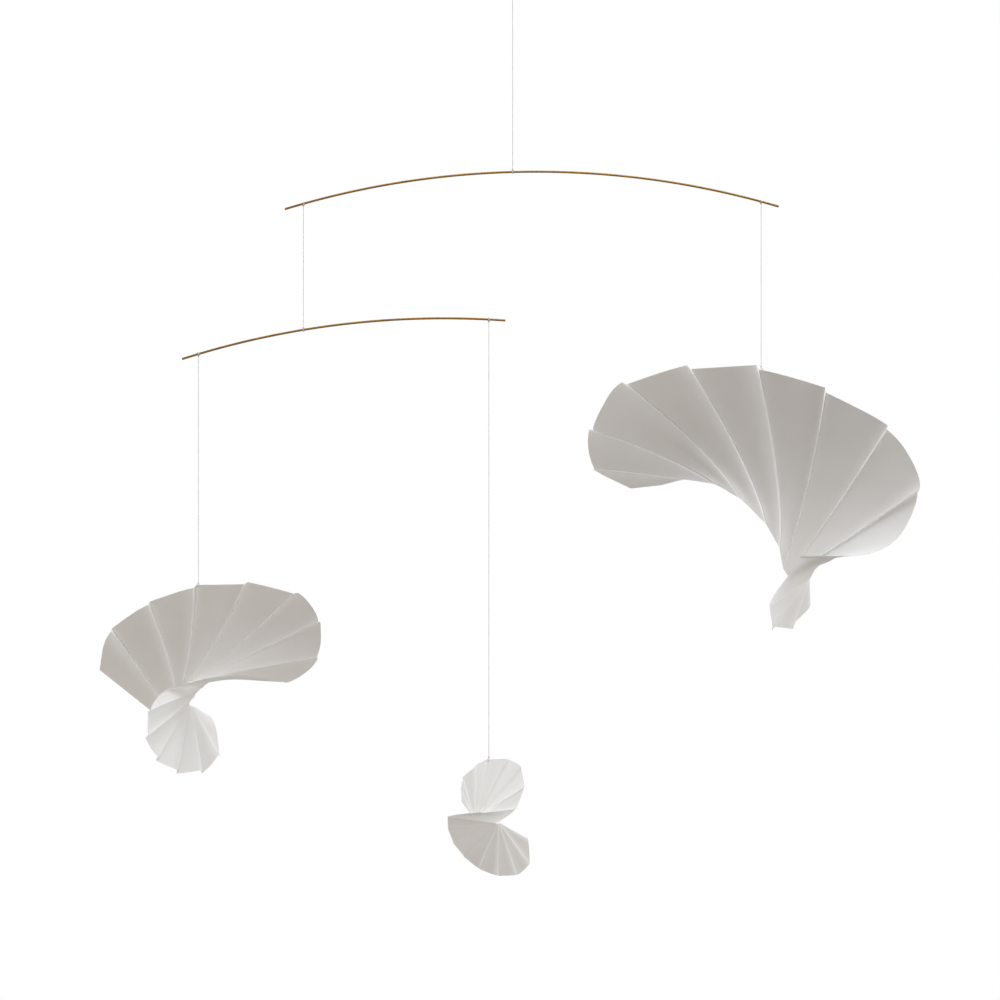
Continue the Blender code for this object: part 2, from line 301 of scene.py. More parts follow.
@dataclass(frozen=True)
class RingFinish:
    """Nickel-plated steel wire, bright with small rubbing marks."""

    name: str = "nickel_plated_wire"
    bright: str = "C8C6C1"
    rubbed: str = "A9A6A0"
    smoothest: float = 0.18
    roughest: float = 0.4
    mark_mm: float = 1.5
    mark_layers: float = 4.0

    def material(self) -> Material:
        """Build the plating: bright metal with duller spots where the hook rubs.

        Returns:
            The plating.
        """
        made, tree, shader = new_material(self.name)
        mark, tone = mottled(tree, self.mark_mm, self.mark_layers, self.bright, self.rubbed)
        tree.links.new(tone, shader.inputs["Base Color"])
        rough = add_node(
            tree, "ShaderNodeMapRange", {"Value": mark, "To Min": self.smoothest, "To Max": self.roughest}
        )
        tree.links.new(rough.outputs["Result"], shader.inputs["Roughness"])
        shader.inputs["Metallic"].default_value = 1.0
        return made


class Recipe:
    """A geometry node tree with named inputs that turns a plain guide mesh into a piece."""

    def __init__(self, name: str, inputs: dict[str, float]) -> None:
        """Make the tree and its named inputs.

        Args:
            name: the recipe's name.
            inputs: name and default of each number that the recipe takes.
        """
        self.tree = bpy.data.node_groups.new(name, "GeometryNodeTree")
        sockets = self.tree.interface
        sockets.new_socket("Geometry", in_out="INPUT", socket_type="NodeSocketGeometry")
        sockets.new_socket("Geometry", in_out="OUTPUT", socket_type="NodeSocketGeometry")
        sockets.new_socket("Finish", in_out="INPUT", socket_type="NodeSocketMaterial")
        for key, default in inputs.items():
            socket = sockets.new_socket(key, in_out="INPUT", socket_type="NodeSocketFloat")
            socket.default_value = default
        self.given = self.tree.nodes.new("NodeGroupInput").outputs

    def add(self, kind: str, inputs: dict | tuple = (), **settings: object) -> Node:
        """Add a node to the recipe's own tree."""
        return add_node(self.tree, kind, inputs, **settings)

    def close(self, shape: Node) -> None:
        """Close the tree with plain geometry that carries the finish.

        Args:
            shape: the node that gives the finished shape.
        """
        real = self.add("GeometryNodeRealizeInstances", (shape,))
        done = self.add("GeometryNodeSetMaterial", {"Geometry": real, "Material": self.given["Finish"]})
        self.add("NodeGroupOutput", (done,))

    def apply(self, piece: Object, finish: Material, values: dict[str, float]) -> None:
        """Run the tree on a piece and keep the result as its plain mesh.

        Args:
            piece: the object that holds the guide mesh.
            finish: the material of the result.
            values: input name to number.
        """
        modifier = piece.modifiers.new(self.tree.name, "NODES")
        modifier.node_group = self.tree
        settings = {"Finish": finish, **values}
        for item in self.tree.interface.items_tree:
            if item.in_out == "INPUT" and item.name in settings:
                modifier[item.identifier] = settings[item.name]
        depsgraph = bpy.context.evaluated_depsgraph_get()
        result = bpy.data.meshes.new_from_object(
            piece.evaluated_get(depsgraph), preserve_all_data_layers=True, depsgraph=depsgraph
        )
        piece.modifiers.remove(modifier)
        guide = piece.data
        piece.data = result
        result.name = piece.name
        bpy.data.meshes.remove(guide)


def add_piece(name: str, mesh: Mesh) -> Object:
    """Link a new object at the origin that holds a mesh.

    Args:
        name: the object's name.
        mesh: what it holds.

    Returns:
        The object.
    """
    piece = bpy.data.objects.new(name, mesh)
    bpy.context.scene.collection.objects.link(piece)
    return piece


def path_mesh(name: str, runs: list[np.ndarray]) -> Mesh:
    """Make a mesh of open lines, one for each run of points.

    Args:
        name: the mesh's name.
        runs: arrays of points in order.

    Returns:
        The mesh of vertices and edges.
    """
    points: list[tuple] = []
    edges: list[tuple[int, int]] = []
    for run in runs:
        first = len(points)
        points.extend(tuple(float(c) for c in p) for p in run)
        edges.extend((i, i + 1) for i in range(first, len(points) - 1))
    mesh = bpy.data.meshes.new(name)
    mesh.from_pydata(points, edges, [])
    return mesh


def join_frame(piece: Object, body: str, node: str) -> None:
    """Give a piece its place in the frame.

    Args:
        piece: the finished piece.
        body: the body that it rides on.
        node: the CAD node that it stands for.
    """
    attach(piece, body)
    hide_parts(node)


class TwistedThread(Recipe):
    """Two plies laid round each other along a line."""

    sides = 12
    pinch = 0.2

    def __init__(self) -> None:
        """Build the tree once; each thread runs it with its own sizes."""
        super().__init__(
            "twisted_thread", {"Diameter": 0.6 * MM, "Twist Length": 1.6 * MM, "Step": 0.2 * MM}
        )
        line = self.add("GeometryNodeMeshToCurve", (self.given["Geometry"],))
        spacing = {"Curve": line, "Length": self.given["Step"]}
        even = self.add("GeometryNodeResampleCurve", spacing, mode="LENGTH")
        along = self.add("GeometryNodeSplineParameter").outputs["Length"]
        turns = self.add(MATH, (along, self.given["Twist Length"]), operation="DIVIDE")
        tilt = self.add(MATH, (turns, math.tau), operation="MULTIPLY")
        laid = self.add("GeometryNodeSetCurveTilt", {"Curve": even, "Tilt": tilt})
        radius = self.add(MATH, (self.given["Diameter"], 0.5), operation="MULTIPLY")
        circle = self.add("GeometryNodeCurvePrimitiveCircle", {"Resolution": self.sides, "Radius": radius})
        plies = self.two_lobes(circle, radius)
        swept = self.add(
            "GeometryNodeCurveToMesh", {"Curve": laid, "Profile Curve": plies, "Fill Caps": True}
        )
        self.close(self.add("GeometryNodeSetShadeSmooth", {"Geometry": swept}))

    def two_lobes(self, circle: Node, radius: Node) -> Node:
        """Pinch a circle at two sides so that it reads as two plies.

        Args:
            circle: the round outline.
            radius: its radius.

        Returns:
            The pinched outline.
        """
        place = self.add("GeometryNodeInputPosition")
        up = self.add("ShaderNodeSeparateXYZ", (place,)).outputs["Y"]
        share = self.add(MATH, (up, radius), operation="DIVIDE")
        square = self.add(MATH, (share, share), operation="MULTIPLY")
        less = self.add(MATH, (square, -self.pinch), operation="MULTIPLY")
        scale = self.add(MATH, (less, 1.0), operation="ADD")
        moved = self.add(VECTOR_MATH, {0: place, "Scale": scale}, operation="SCALE")
        return self.add("GeometryNodeSetPosition", {"Geometry": circle, "Position": moved})


class RoundWire(Recipe):
    """A drawn wire along a line, with its cut ends slightly broken."""

    sides = 20
    end_size = 0.78
    end_loss = 0.22

    def __init__(self) -> None:
        """Build the tree once; rods and ring run it with their own sizes."""
        super().__init__("round_wire", {"Diameter": 2 * MM, "Step": 2 * MM, "Broken Edge": 0.3 * MM})
        line = self.add("GeometryNodeMeshToCurve", (self.given["Geometry"],))
        spacing = {"Curve": line, "Length": self.given["Step"]}
        even = self.add("GeometryNodeResampleCurve", spacing, mode="LENGTH")
        along = self.add("GeometryNodeSplineParameter").outputs["Length"]
        whole = self.add("GeometryNodeSplineLength")
        to_end = self.add(MATH, (whole, along), operation="SUBTRACT")
        near = self.add(MATH, (along, to_end), operation="MINIMUM")
        part = self.add(MATH, (near, self.given["Broken Edge"]), operation="DIVIDE")
        share = self.add(MATH, (part, 1.0), operation="MINIMUM")
        widen = self.add(MATH, (share, self.end_loss), operation="MULTIPLY")
        taper = self.add(MATH, (widen, self.end_size), operation="ADD")
        shaped = self.add("GeometryNodeSetCurveRadius", {"Curve": even, "Radius": taper})
        radius = self.add(MATH, (self.given["Diameter"], 0.5), operation="MULTIPLY")
        circle = self.add("GeometryNodeCurvePrimitiveCircle", {"Resolution": self.sides, "Radius": radius})
        swept = self.add(
            "GeometryNodeCurveToMesh",
            {"Curve": shaped, "Profile Curve": circle, "Scale": taper, "Fill Caps": True},
        )
        self.close(self.add("GeometryNodeSetShadeSmooth", {"Geometry": swept}))


class FoldedSheet(Recipe):
    """Knife pleats pressed into a ruled sheet, which then gets the paper's thickness."""

    attributes = {
        "ridge": "FLOAT", "roll": "FLOAT", "lip": "FLOAT", "pitch": "FLOAT",
        "front": "FLOAT_VECTOR", "along": "FLOAT_VECTOR",
    }
    curl_power = 5.0
    cut_edge_deg = 50.0
    weld = 0.001 * MM

    def __init__(self) -> None:
        """Build the tree once; each spiral runs it with its own paper."""
        super().__init__(
            "folded_sheet",
            {
                "Pleat Depth": 0.11, "Return Share": 0.025, "Lean": 0.3, "Fold Highlight Reach": 0.03,
                "Paper": 0.4 * MM, "Ripple": 0.25 * MM, "Ripple Size": 45 * MM, "Seed": 3.0,
            },
        )
        self.sheet = {
            name: self.add("GeometryNodeInputNamedAttribute", {"Name": name}, data_type=kind)
            for name, kind in self.attributes.items()
        }
        # Place across the pleat, place of its ridge fold, and the panel's rise towards the fold
        self.share = self.add(MATH, (self.sheet["ridge"],), operation="FRACT")
        self.fold = self.add(MATH, (1.0, self.given["Return Share"]), operation="SUBTRACT")
        self.rise = self.add(MATH, (self.share, self.fold), operation="DIVIDE")
        # Nearness to the ridge fold is stored as the mask of the paper's painted fold highlight
        highlight_marked = self.add(
            "GeometryNodeStoreNamedAttribute",
            {"Geometry": self.given["Geometry"], "Name": "crease", "Value": self.near_ridge()},
            data_type="FLOAT", domain="POINT",
        )
        folded = self.add("GeometryNodeSetPosition", {"Geometry": highlight_marked, "Offset": self.offset()})
        self.close(self.thicken(folded))

    def pleat_height(self) -> Node:
        """Height of the knife pleat: a wide flat panel, then a steep return.

        Returns:
            Height from -0.5 to 0.5.
        """
        left = self.add(MATH, (1.0, self.share), operation="SUBTRACT")
        fall = self.add(MATH, (left, self.given["Return Share"]), operation="DIVIDE")
        lower = self.add(MATH, (self.rise, fall), operation="MINIMUM")
        return self.add(MATH, (lower, 0.5), operation="SUBTRACT")

    def curl(self) -> Node:
        """Curl of the panel: rolled over at its ridge where "roll" is positive, else flared.

        Returns:
            What is added to the pleat's height.
        """
        rise = self.add(MATH, (self.rise, 1.0), operation="MINIMUM")
        swell = self.add(MATH, (rise, rise), operation="MULTIPLY")
        tuck = self.add(MATH, (rise, self.curl_power), operation="POWER")
        bend = self.add(MATH, (swell, tuck), operation="SUBTRACT")
        return self.add(MATH, (bend, self.sheet["roll"]), operation="MULTIPLY")

    def near_ridge(self) -> Node:
        """How near a place is to its ridge fold, which sets where the fold highlight is painted.

        Returns:
            1 on the fold, 0 beyond the fold's reach.
        """
        apart = self.add(MATH, (self.share, self.fold), operation="SUBTRACT")
        away = self.add(MATH, (apart,), operation="ABSOLUTE")
        part = self.add(MATH, (away, self.given["Fold Highlight Reach"]), operation="DIVIDE")
        near = self.add(MATH, (1.0, part), operation="SUBTRACT")
        return self.add(MATH, (near, 0.0), operation="MAXIMUM")

    def ripple(self) -> Node:
        """Slight waves of the sheet.

        Returns:
            Height of the waves.
        """
        fine = self.add(MATH, (1.0, self.given["Ripple Size"]), operation="DIVIDE")
        place = self.add("GeometryNodeInputPosition")
        waves = {"Vector": place, "W": self.given["Seed"], "Scale": fine, "Detail": 1.0}
        noise = self.add("ShaderNodeTexNoise", waves, noise_dimensions="4D")
        level = self.add(MATH, (noise, 0.5), operation="SUBTRACT")
        return self.add(MATH, (level, self.given["Ripple"]), operation="MULTIPLY")

    def offset(self) -> Node:
        """Move of each point from the ruled sheet to the folded one.

        Returns:
            The move as a vector.
        """
        front = self.sheet["front"]
        along = self.sheet["along"]
        depth = self.given["Pleat Depth"]
        fold = self.add(MATH, (self.pleat_height(), self.sheet["pitch"]), operation="MULTIPLY")
        curl = self.add(MATH, (self.curl(), self.sheet["pitch"]), operation="MULTIPLY")
        full = self.add(MATH, (fold, curl), operation="ADD")
        out = self.add(MATH, (full, depth), operation="MULTIPLY")
        waved = self.add(MATH, (out, self.ripple()), operation="ADD")
        forward = self.add(VECTOR_MATH, {0: front, "Scale": waved}, operation="SCALE")
        step = self.add(MATH, (fold, self.sheet["lip"]), operation="MULTIPLY")
        upward = self.add(VECTOR_MATH, {0: along, "Scale": step}, operation="SCALE")
        # A knife pleat leans over, so its ridge covers the fold behind it
        over = self.add(VECTOR_MATH, (along, front), operation="CROSS_PRODUCT")
        stand = self.add(MATH, (fold, depth), operation="MULTIPLY")
        leaning = self.add(MATH, (stand, self.given["Lean"]), operation="MULTIPLY")
        sideways = self.add(VECTOR_MATH, {0: over, "Scale": leaning}, operation="SCALE")
        moved = self.add(VECTOR_MATH, (forward, upward), operation="ADD")
        return self.add(VECTOR_MATH, (moved, sideways), operation="ADD")

    def thicken(self, sheet: Node) -> Node:
        """Give the sheet the paper's thickness as one closed body.

        Args:
            sheet: the folded sheet.

        Returns:
            The closed body with smooth faces and sharp cut edges.
        """
        front = self.sheet["front"]
        half = self.add(MATH, (self.given["Paper"], -0.5), operation="MULTIPLY")
        behind = self.add(VECTOR_MATH, {0: front, "Scale": half}, operation="SCALE")
        back = self.add("GeometryNodeSetPosition", {"Geometry": sheet, "Offset": behind})
        raised = self.add(
            "GeometryNodeExtrudeMesh",
            {"Mesh": back, "Offset": front, "Offset Scale": self.given["Paper"], "Individual": False},
            mode="FACES",
        )
        turned = self.add("GeometryNodeFlipFaces", {"Mesh": back})
        both = self.add("GeometryNodeJoinGeometry", (raised,))
        self.tree.links.new(turned.outputs[0], both.inputs[0])
        closed = self.add("GeometryNodeMergeByDistance", {"Geometry": both, "Distance": self.weld})
        smooth = self.add("GeometryNodeSetShadeSmooth", {"Geometry": closed})
        angle = self.add("GeometryNodeInputMeshEdgeAngle").outputs["Unsigned Angle"]
        limit = math.radians(self.cut_edge_deg)
        hard = self.add(MATH, (angle, limit), operation="GREATER_THAN")
        soft = self.add(MATH, (1.0, hard), operation="SUBTRACT")
        edges = {"Geometry": smooth, "Shade Smooth": soft}
        return self.add("GeometryNodeSetShadeSmooth", edges, domain="EDGE")


@dataclass
class Workshop:
    """The finishes and recipes that all pieces share."""

    paper: Material
    brass: Material
    thread: Material
    nickel: Material
    twisted: TwistedThread
    wire: RoundWire
    folded: FoldedSheet

    @classmethod
    def open(cls) -> "Workshop":
        """Make every finish and recipe once.

        Returns:
            The workshop.
        """
        return cls(
            PaperFinish().material(), BrassFinish().material(), ThreadFinish().material(),
            RingFinish().material(), TwistedThread(), RoundWire(), FoldedSheet(),
        )


@dataclass(frozen=True)
class Cordage:
    """Sizes of the thread, its loops and its knots."""

    diameter: float = 0.6 * MM
    twist: float = 1.6 * MM
    gap: float = 0.3 * MM
    knot: float = 1.8 * MM
    knot_rise: float = 0.6
    knot_points: int = 90
    paper_loop: float = 4.0 * MM
    loop_points: int = 60
    wraps: int = 2
    wrap_pitch: float = 1.1
    wrap_points: int = 34
    line_points: int = 24
    taut_steps: int = 8
    tied_steps: int = 16

    def spin(
        self, shop: Workshop, node: str, body: str, lay: Lay, runs: list[np.ndarray]
    ) -> Object:
        """Make a piece of twisted thread.

        Args:
            shop: the shared finishes and recipes.
            node: the CAD node that it stands for.
            body: the body that it rides on.
            lay: how the thread lies.
            runs: lines that it follows.

        Returns:
            The thread.
        """
        name = f"{node}_{lay.value}"
        piece = add_piece(name, path_mesh(name, runs))
        steps = self.taut_steps if lay is Lay.TAUT else self.tied_steps
        values = {"Diameter": self.diameter, "Twist Length": self.twist, "Step": self.twist / steps}
        shop.twisted.apply(piece, shop.thread, values)
        join_frame(piece, body, node)
        log.info("thread %s", name)
        return piece

    def line(self, shop: Workshop, node: str, body: str, top: Vector, low: Vector) -> None:
        """Make one taut thread between two knots.

        Args:
            shop: the shared finishes and recipes.
            node: the CAD thread that it stands for.
            body: the body that it rides on.
            top: centre of the upper knot.
            low: centre of the lower knot.
        """
        path = np.linspace(np.array(top), np.array(low), self.line_points)
        piece = self.spin(shop, node, body, Lay.TAUT, [path])

    def knot_path(self, centre: Vector) -> np.ndarray:
        """Line of a small overhand knot, which is a trefoil.

        Args:
            centre: middle of the knot.

        Returns:
            Points of the line.
        """
        t = np.linspace(0, math.tau, self.knot_points)
        reach = self.knot / 2 - self.diameter / 2
        across = (np.sin(t) + 2 * np.sin(2 * t)) / 3
        depth = (np.cos(t) - 2 * np.cos(2 * t)) / 3
        height = -np.sin(3 * t) * self.knot_rise
        return np.array(centre) + reach * np.stack([across, depth, height], axis=1)

    def wrap_path(self, centre: Vector, axis: Vector, radius: float, knot: Vector) -> np.ndarray:
        """Line that leaves the knot, winds round a rod and comes back to the knot.

        Args:
            centre: point on the rod's own line.
            axis: direction of the rod.
            radius: distance of the thread's line from the rod's line.
            knot: centre of the knot.

        Returns:
            Points of the line.
        """
        toward = (knot - centre) - axis * (knot - centre).dot(axis)
        toward.normalize()
        side = axis.cross(toward)
        angles = np.linspace(0, math.tau * self.wraps, self.wrap_points * self.wraps)
        spread = (angles / angles[-1] - 0.5) * self.diameter * self.wrap_pitch * self.wraps
        ring = np.outer(np.cos(angles), toward) + np.outer(np.sin(angles), side)
        wound = np.array(centre) + ring * radius + np.outer(spread, axis)
        return np.vstack([np.array(knot), wound, np.array(knot)])

    def tie_round(
        self, shop: Workshop, node: str, body: str, centre: Vector, axis: Vector, wire: float, side: Side
    ) -> Vector:
        """Tie a thread round a rod or the ring.

        Args:
            shop: the shared finishes and recipes.
            node: the CAD loop that it stands for.
            body: the body that it rides on.
            centre: point on the rod's own line.
            axis: direction of the rod there.
            wire: the rod's diameter.
            side: where the knot sits.

        Returns:
            Centre of the knot.
        """
        loop = wire + 2 * self.gap + self.diameter
        knot = centre + Vector((0, 0, side.value * (loop / 2 + self.knot / 4)))
        wound = self.wrap_path(centre, axis, (wire + self.diameter + self.gap) / 2, knot)
        self.spin(shop, node, body, Lay.TIED, [wound, self.knot_path(knot)])
        return knot


@dataclass(frozen=True)
class Rod:
    """A brass rod bent to an arc, with the place it hangs from and the slope of its chord."""

    name: str
    body: str
    length: float
    hang_offset: float
    tilt_deg: float
    left_inset: float
    right_inset: float
    hang: tuple[float, float, float]
    diameter: float = 2.0 * MM
    bend_radius: float = 775.0 * MM
    broken_edge: float = 0.5 * MM
    step: float = 0.5 * MM
    end_step: float = 0.3 * MM
    points: int = 180

    def arc(self, along: float) -> Vector:
        """Point of the untilted arc at a distance along it from its middle."""
        angle = along / self.bend_radius
        return Vector((self.bend_radius * math.sin(angle), 0, self.bend_radius * math.cos(angle)))

    def point(self, along: float) -> Vector:
        """Point of the hung and tilted rod at a distance along it from its middle."""
        turn = Matrix.Rotation(-math.radians(self.tilt_deg), 3, "Y")
        return turn @ (self.arc(along) - self.arc(self.hang_offset)) + Vector(self.hang)

    def tangent(self, along: float) -> Vector:
        """Direction of the rod at a distance along it from its middle."""
        return (self.point(along + MM) - self.point(along - MM)).normalized()

    @property
    def left(self) -> float:
        """Distance along the rod of its left thread."""
        return self.left_inset - self.length / 2

    @property
    def right(self) -> float:
        """Distance along the rod of its right thread."""
        return self.length / 2 - self.right_inset

    def build(self, shop: Workshop) -> None:
        """Make the bent rod with its cut ends.

        Args:
            shop: the shared finishes and recipes.
        """
        half = self.length / 2
        places = [-half + self.end_step * i for i in range(3)]
        places += list(np.linspace(-half + MM, half - MM, self.points))
        places += [half - self.end_step * i for i in (2, 1, 0)]
        line = np.array([self.point(float(a)) for a in places])
        name = self.name + "_drawn"
        piece = add_piece(name, path_mesh(name, [line]))
        values = {"Diameter": self.diameter, "Step": self.step, "Broken Edge": self.broken_edge}
        shop.wire.apply(piece, shop.brass, values)
        join_frame(piece, self.body, self.name)
        log.info("rod %s, %.0f mm", name, self.length / MM)


@dataclass(frozen=True)
class HangingRing:
    """An open wire ring that a ceiling hook goes through."""

    name: str = "hanging_ring"
    body: str = "ring"
    diameter: float = 14.0 * MM
    wire: float = 1.6 * MM
    seam_deg: float = 1.6
    seam_at_deg: float = 60.0
    broken_edge: float = 0.25 * MM
    step: float = 0.25 * MM
    points: int = 120

    def build(self, shop: Workshop) -> Vector:
        """Make the ring with the seam where its wire ends meet.

        Args:
            shop: the shared finishes and recipes.

        Returns:
            Lowest point of the ring's own line.
        """
        start = math.radians(self.seam_at_deg + self.seam_deg / 2)
        angles = np.linspace(start, start + math.tau - math.radians(self.seam_deg), self.points)
        circle = np.stack([np.cos(angles), np.zeros_like(angles), np.sin(angles)], axis=1)
        name = self.name + "_wire"
        piece = add_piece(name, path_mesh(name, [circle * self.diameter / 2]))
        values = {"Diameter": self.wire, "Step": self.step, "Broken Edge": self.broken_edge}
        shop.wire.apply(piece, shop.nickel, values)
        join_frame(piece, self.body, self.name)
        log.info("ring %s", name)
        return Vector((0, 0, -self.diameter / 2))


@dataclass(frozen=True)
class Spiral:
    """One strip of paper in knife pleats, given by guide points on its two long edges.

    Each guide point is (ridge number, across, depth, height) in millimetres from the point
    where the strip hangs; depth grows away from the front. The strip fans out, crosses over
    and fans out again below. Depths and steps of pleats are shares of their pitch.
    """

    name: str
    paper: float
    hang_ridge: int
    # Hollow of the upper fan's ridges, as a share of their length
    bow: float
    rim_step: float
    crossing_end: int
    # Ridges between which the panels flare instead of rolling over at their fold
    flared: tuple[float, float]
    outer: tuple
    inner: tuple
    # Pleats of the solid strip, which place the thread's hole
    pleat_depth: float = 0.11
    return_share: float = 0.06
    panel_bulge: float = 0.25
    hole_from_ridge: float = 1.5 * MM
    rim_from: float = 0.96
    # Pleats as they are shown
    shown_depth: float = 0.055
    shown_return: float = 0.025
    panel_roll: float = 2.6
    panel_flare: float = 1.4
    lean: float = 0.3
    rim_lip: float = 0.0
    # From this ridge on the rim has another step and the pleats another depth
    tail_from: float = 9.0
    tail_lip: float = 0.0
    tail_depth: float = 1.0
    # Lift of the middle of the upper fan's last ridge
    arch: float = 0.0
    panel_flatness: float = 0.7
    fan_ridges: int = 8
    fan_fade: float = 2.5
    slope_step: float = 0.02
    rows: int = 30
    panel_columns: tuple = (
        0.0, 0.004, 0.015, 0.04, 0.1, 0.2, 0.3, 0.4, 0.5, 0.6, 0.69, 0.77, 0.84, 0.89, 0.93
    )
    before_fold: tuple = (0.02, 0.008, 0.0)

    def guide(self, points: tuple, ridges: np.ndarray) -> np.ndarray:
        """Edge through guide points, without overshoot and flattened along single panels.

        Args:
            points: the edge's guide points.
            ridges: ridge numbers to give the edge at.

        Returns:
            Places on the edge in metres.
        """
        table = np.array(points, dtype=float)
        knots = table[:, 0]
        places = table[:, 1:] * MM
        gaps = np.diff(knots)[:, None]
        slopes = np.diff(places, axis=0) / gaps
        tangents = np.zeros_like(places)
        tangents[0] = slopes[0]
        tangents[-1] = slopes[-1]
        same_way = slopes[:-1] * slopes[1:] > 0
        total = np.where(same_way, slopes[:-1] + slopes[1:], 1.0)
        tangents[1:-1] = np.where(same_way, 2 * slopes[:-1] * slopes[1:] / total, 0.0)
        span = np.clip(np.searchsorted(knots, ridges, side="right") - 1, 0, len(knots) - 2)
        width = gaps[span]
        share = ((ridges - knots[span]) / width[:, 0])[:, None]
        rest = 1 - share
        start = (1 + 2 * share) * rest**2 * places[span] + share * rest**2 * width * tangents[span]
        end = share**2 * (3 - 2 * share) * places[span + 1] - share**2 * rest * width * tangents[span + 1]
        straight = places[span] * rest + places[span + 1] * share
        crossing = (ridges > self.fan_ridges) & (ridges < self.crossing_end)
        flat = np.where((width[:, 0] == 1) & ~crossing, self.panel_flatness, 0.0)[:, None]
        return straight * flat + (start + end) * (1 - flat)

    def edge(self, points: tuple, ridges: np.ndarray) -> tuple[np.ndarray, np.ndarray]:
        """Places on an edge and how far they move for each ridge.

        Args:
            points: the edge's guide points.
            ridges: ridge numbers.

        Returns:
            Places and moves in metres.
        """
        low = np.clip(ridges - self.slope_step, 0, self.outer[-1][0])
        high = np.clip(ridges + self.slope_step, 0, self.outer[-1][0])
        move = (self.guide(points, high) - self.guide(points, low)) / (high - low)[:, None]
        return self.guide(points, ridges), move

    def ruled(self, ridges: np.ndarray, shares: np.ndarray) -> dict[str, np.ndarray]:
        """The sheet before it is pleated, with what the folding needs.

        Args:
            ridges: ridge numbers, one for each column.
            shares: places along the ridges, one for each row.

        Returns:
            Arrays of rows by columns: place, front, along and pitch.
        """
        inner, inner_move = self.edge(self.inner, ridges)
        outer, outer_move = self.edge(self.outer, ridges)
        length = np.linalg.norm(outer - inner, axis=1)[:, None]
        along = (outer - inner) / length
        from_ends = np.minimum(ridges, self.fan_ridges - ridges)
        bow = self.bow * length * np.clip(from_ends / self.fan_fade, 0, 1)[:, None]
        arch = self.arch * np.clip(1 - np.abs(ridges - self.fan_ridges), 0, 1)
        found: dict[str, list] = {"place": [], "front": [], "along": [], "pitch": []}
        for share in shares:
            move = inner_move * (1 - share) + outer_move * share
            move -= along * np.sum(move * along, axis=1)[:, None]
            front = unit(np.cross(move, along))
            hollow = front * bow * 4 * share * (1 - share)
            place = inner * (1 - share) + outer * share - hollow
            place[:, 2] += arch * 4 * share * (1 - share)
            found["place"].append(place)
            found["front"].append(front)
            found["along"].append(along)
            found["pitch"].append(np.linalg.norm(move, axis=1))
        return {key: np.array(value) for key, value in found.items()}

    def solid_height(self, share: float) -> float:
        """Height of the solid strip's pleat.

        Args:
            share: place across the pleat, from 0 to 1.

        Returns:
            Height as a share of the pleat's depth.
        """
        if share > 1 - self.return_share:
            return (1 - share) / self.return_share - 0.5
        rise = share / (1 - self.return_share)
        return rise - 0.5 + self.panel_bulge * rise * (1 - rise)

    def hang_frame(self) -> tuple[np.ndarray, np.ndarray, np.ndarray]:
        """Where the thread's loop sits on the rim.

        Returns:
            Point on the rim, ridge direction and front there, from the guides' zero.
        """
        tips = self.guide(self.outer, np.array([self.hang_ridge, self.hang_ridge + 1.0]))
        ridge = self.hang_ridge + self.hole_from_ridge / np.linalg.norm(tips[1] - tips[0])
        sheet = self.ruled(np.array([ridge]), np.array([self.rim_from, 1.0]))
        fold = sheet["pitch"][:, 0] * self.solid_height(ridge - math.floor(ridge))
        lift = sheet["front"][:, 0] * self.pleat_depth + sheet["along"][:, 0] * self.rim_step
        places = sheet["place"][:, 0] + fold[:, None] * lift
        along = unit(places[1:] - places[:1])[0]
        return places[1], along, sheet["front"][1, 0]

    def columns(self) -> np.ndarray:
        """Columns of the sheet, closer together near each fold.

        Returns:
            Ridge numbers of the columns.
        """
        fold = 1 - self.shown_return
        across = list(self.panel_columns)
        across += [fold - gap for gap in self.before_fold]
        across += [fold + self.shown_return * i / 3 for i in (1, 2)]
        pleats = int(self.outer[-1][0])
        return np.array([k + a for k in range(pleats) for a in across] + [float(pleats)])

    def sheet_mesh(self, knot: Vector, shift: np.ndarray) -> Mesh:
        """Make the ruled sheet with the attributes that the folding reads.

        Args:
            knot: centre of the knot that the strip hangs from.
            shift: from the guides' zero to the knot.

        Returns:
            The sheet as a grid of faces that face the front.
        """
        ridges = self.columns()
        shares = 0.5 - 0.5 * np.cos(np.linspace(0, math.pi, self.rows + 1))
        sheet = self.ruled(ridges, shares)
        count = len(ridges)
        places = (sheet["place"] + shift + np.array(knot)).reshape(-1, 3)
        starts = [row * count + column for row in range(self.rows) for column in range(count - 1)]
        faces = [(i, i + 1, i + count + 1, i + count) for i in starts]
        mesh = bpy.data.meshes.new(self.name + "_sheet")
        mesh.from_pydata([tuple(p) for p in places], [], faces)
        flare = np.clip(ridges - self.flared[0], 0, 1) * np.clip(self.flared[1] - ridges, 0, 1)
        roll = self.panel_roll * (1 - flare) - self.panel_flare * flare
        tail = np.clip(ridges - self.tail_from, 0, 1)
        lip = (self.rim_step + self.rim_lip) * (1 - tail) + self.tail_lip * tail
        deepen = 1 + (self.tail_depth - 1) * tail
        by_column = {"ridge": ridges, "roll": roll, "lip": lip}
        values = {key: np.tile(row, len(shares)) for key, row in by_column.items()}
        values["pitch"] = (sheet["pitch"] * deepen).ravel()
        for key, value in values.items():
            mesh.attributes.new(key, "FLOAT", "POINT").data.foreach_set("value", value.astype(np.float32))
        for key in ("front", "along"):
            flat = sheet[key].reshape(-1).astype(np.float32)
            mesh.attributes.new(key, "FLOAT_VECTOR", "POINT").data.foreach_set("vector", flat)
        return mesh

